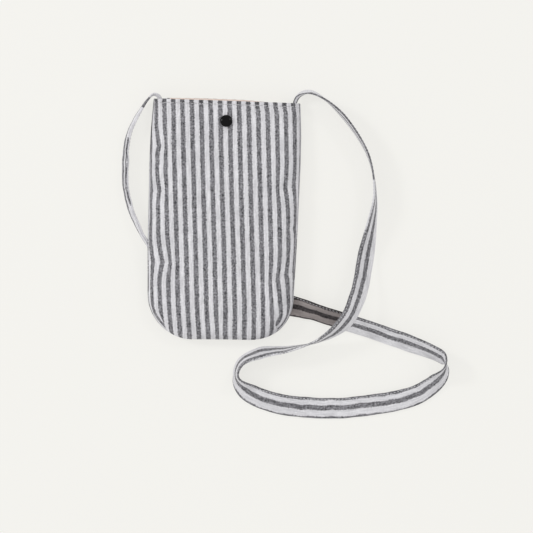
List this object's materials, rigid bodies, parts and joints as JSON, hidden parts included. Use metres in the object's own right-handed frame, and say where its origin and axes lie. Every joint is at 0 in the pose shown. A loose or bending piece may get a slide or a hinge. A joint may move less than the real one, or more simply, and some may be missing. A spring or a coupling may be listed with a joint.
{
  "type": "phone bag",
  "caption": "Slim phone bag of striped cotton, open at the top with a black snap, lying on its back with its long flat strap laid out beside it.",
  "frame": {"origin": "middle of the pouch's back, on the surface it lies on", "axes": "+X across the pouch to the viewer's right, +Y up to its mouth, +Z out of its front, away from the surface"},
  "size_m": [0.2633, 0.2605, 0.0259],
  "materials": {
    "striped_cotton": "matt woven cotton, charcoal and off-white stripes",
    "lining_cotton": "matt plain weave",
    "black_lacquer": "glossy black lacquer",
    "snap_metal": "plain nickel, satin"
  },
  "bodies": {
    "root": {"front_panel": "striped_cotton", "back_panel": "striped_cotton", "lining": "lining_cotton", "strap": "striped_cotton", "snap_cap": "black_lacquer", "snap_socket": "snap_metal", "snap_stud": "snap_metal"}
  },
  "joints": []
}
